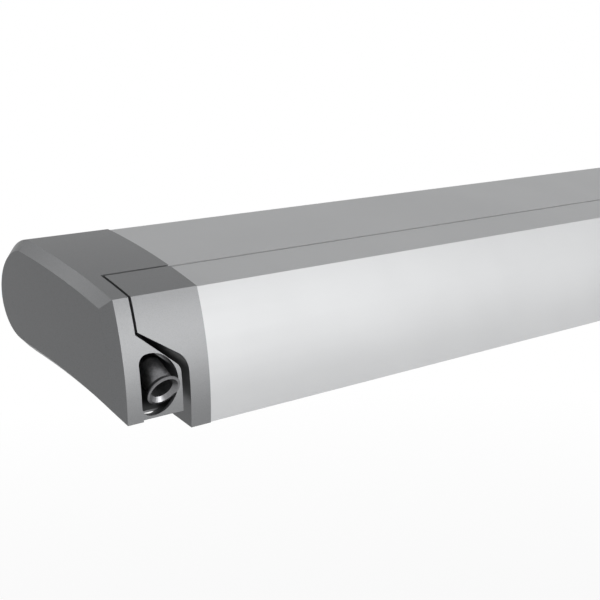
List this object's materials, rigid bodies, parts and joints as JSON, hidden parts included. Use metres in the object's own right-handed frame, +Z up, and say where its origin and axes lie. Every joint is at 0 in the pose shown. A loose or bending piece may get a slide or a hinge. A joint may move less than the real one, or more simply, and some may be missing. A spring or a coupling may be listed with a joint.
{
  "type": "roll out awning",
  "caption": "Cassette roll out awning with a crank gearbox, a roller canopy, folding arms and a lead rail with stowed telescopic legs.",
  "frame": {"origin": "middle of the wall land on the back of the housing", "axes": "+X along the length away from the winch end, +Z up, the front faces -Y"},
  "size_m": [2.6, 0.1894, 0.1345],
  "materials": {
    "anodised": "satin anodised aluminium",
    "bronze": "bronze gear",
    "cap_plastic": "satin metallic grey moulded plastic",
    "cast": "painted die casting",
    "cloth": "coated canopy cloth",
    "nylon": "black nylon",
    "rubber": "black seal rubber",
    "steel": "zinc plated steel"
  },
  "bodies": {
    "cassette": {"housing_profile": "anodised", "left_end_cap": "cap_plastic", "right_end_cap": "cap_plastic", "left_end_plate": "cast", "right_end_plate": "cast", "gearbox_case": "cast", "gearbox_cover": "cast", "gearbox_screws": "steel", "left_shoulder_bracket": "cast", "right_shoulder_bracket": "cast", "left_shoulder_pin": "steel", "right_shoulder_pin": "steel", "roller_idle_pin": "steel", "roller_bush": "nylon", "cap_screws": "steel", "lip_seal": "rubber"},
    "roller": {"roller_tube": "anodised", "canopy_roll": "cloth", "worm_wheel": "bronze", "drive_plug": "cast", "idle_plug": "cast"},
    "winch": {"worm_shaft": "steel"},
    "left_upper_link": {"left_upper_arm": "anodised", "left_shoulder_eye": "cast", "left_elbow_fork": "cast", "left_elbow_pin": "steel"},
    "left_fore_link": {"left_forearm": "anodised", "left_elbow_knuckle": "cast", "left_hand_eye": "cast"},
    "right_upper_link": {"right_upper_arm": "anodised", "right_shoulder_eye": "cast", "right_elbow_fork": "cast", "right_elbow_pin": "steel"},
    "right_fore_link": {"right_forearm": "anodised", "right_elbow_knuckle": "cast", "right_hand_eye": "cast"},
    "lead_rail": {"lead_rail_profile": "anodised", "left_rail_cap": "cap_plastic", "right_rail_cap": "cap_plastic", "left_hand_bracket": "cast", "right_hand_bracket": "cast", "left_hand_pin": "steel", "right_hand_pin": "steel", "rail_seal": "rubber", "leg_brackets": "steel", "leg_hinge_pins": "steel", "canopy_front": "cloth"},
    "left_leg": {"left_leg_tube": "anodised", "left_leg_collar": "cap_plastic"},
    "right_leg": {"right_leg_tube": "anodised", "right_leg_collar": "cap_plastic"},
    "left_leg_slider": {"left_leg_inner": "anodised"},
    "right_leg_slider": {"right_leg_inner": "anodised"},
    "left_lever": {"left_leg_lever": "nylon"},
    "right_lever": {"right_leg_lever": "nylon"},
    "left_foot_plate": {"left_foot": "nylon"},
    "right_foot_plate": {"right_foot": "nylon"},
    "cloth_tail": {"canopy_tail": "cloth"},
    "cloth_lead": {"canopy_lead": "cloth"}
  },
  "joints": [
    {"name": "arm_fold", "type": "hinge", "parent": "cassette", "child": "left_upper_link", "pos_m": [-1.18, -0.116, -0.016], "axis": [0, 0.1994, -0.9799], "range_deg": [0, 67.5]},
    {"name": "left_elbow", "type": "hinge", "parent": "left_upper_link", "child": "left_fore_link", "pos_m": [-0.1, -0.13266, -0.01939], "axis": [0, -0.1994, 0.9799], "range_deg": [0, 135]},
    {"name": "left_hand", "type": "hinge", "parent": "left_fore_link", "child": "lead_rail", "pos_m": [-1.18, -0.14932, -0.02278], "axis": [0, 0.1994, -0.9799], "range_deg": [0, 67.5]},
    {"name": "right_shoulder", "type": "hinge", "parent": "cassette", "child": "right_upper_link", "pos_m": [1.18, -0.116, -0.016], "axis": [0, -0.1994, 0.9799], "range_deg": [0, 67.5]},
    {"name": "right_elbow", "type": "hinge", "parent": "right_upper_link", "child": "right_fore_link", "pos_m": [0.1, -0.13266, -0.01939], "axis": [0, 0.1994, -0.9799], "range_deg": [0, 135]},
    {"name": "roller_spin", "type": "hinge", "parent": "cassette", "child": "roller", "pos_m": [0, -0.045, 0], "axis": [1, 0, 0], "range_deg": [0, 3335]},
    {"name": "winch_turn", "type": "hinge", "parent": "cassette", "child": "winch", "pos_m": [-1.2608, -0.18, -0.0533], "axis": [0, 0.8572, 0.515], "range_deg": [0, 23350]},
    {"name": "cloth_pay_out", "type": "slide", "parent": "lead_rail", "child": "cloth_tail", "axis": [0, 0.9799, 0.1994], "range_m": [0, 1.9756]},
    {"name": "cloth_lead_out", "type": "slide", "parent": "cassette", "child": "cloth_lead", "axis": [0, -0.9799, -0.1994], "range_m": [0, 0.451]},
    {"name": "left_leg_swing", "type": "hinge", "parent": "lead_rail", "child": "left_leg", "pos_m": [-1.2, -0.165, -0.071], "axis": [0, 1, 0], "range_deg": [0, 90]},
    {"name": "right_leg_swing", "type": "hinge", "parent": "lead_rail", "child": "right_leg", "pos_m": [1.2, -0.142, -0.071], "axis": [0, -1, 0], "range_deg": [0, 90]},
    {"name": "left_leg_slide", "type": "slide", "parent": "left_leg", "child": "left_leg_slider", "axis": [1, 0, 0], "range_m": [0, 0.8]},
    {"name": "right_leg_slide", "type": "slide", "parent": "right_leg", "child": "right_leg_slider", "axis": [-1, 0, 0], "range_m": [0, 0.8]},
    {"name": "left_lever_turn", "type": "hinge", "parent": "left_leg", "child": "left_lever", "pos_m": [-0.133, -0.165, -0.0855], "axis": [0, -1, 0], "range_deg": [0, 80]},
    {"name": "right_lever_turn", "type": "hinge", "parent": "right_leg", "child": "right_lever", "pos_m": [0.133, -0.142, -0.0855], "axis": [0, 1, 0], "range_deg": [0, 80]},
    {"name": "left_foot_tilt", "type": "hinge", "parent": "left_leg_slider", "child": "left_foot_plate", "pos_m": [-0.11, -0.165, -0.071], "axis": [0, 1, 0], "range_deg": [0, 90]},
    {"name": "right_foot_tilt", "type": "hinge", "parent": "right_leg_slider", "child": "right_foot_plate", "pos_m": [0.11, -0.142, -0.071], "axis": [0, -1, 0], "range_deg": [0, 90]}
  ],
  "couplings": [
    {"joint": "left_elbow", "follows": "arm_fold", "ratio": 2},
    {"joint": "left_hand", "follows": "arm_fold", "ratio": 1},
    {"joint": "right_shoulder", "follows": "arm_fold", "ratio": 1},
    {"joint": "right_elbow", "follows": "arm_fold", "ratio": 2},
    {"joint": "roller_spin", "follows": "arm_fold", "ratio": 49.4},
    {"joint": "winch_turn", "follows": "arm_fold", "ratio": 345.8},
    {"joint": "cloth_pay_out", "follows": "arm_fold", "m_per_rad": 1.6761},
    {"joint": "cloth_lead_out", "follows": "arm_fold", "m_per_rad": 0.38197}
  ]
}
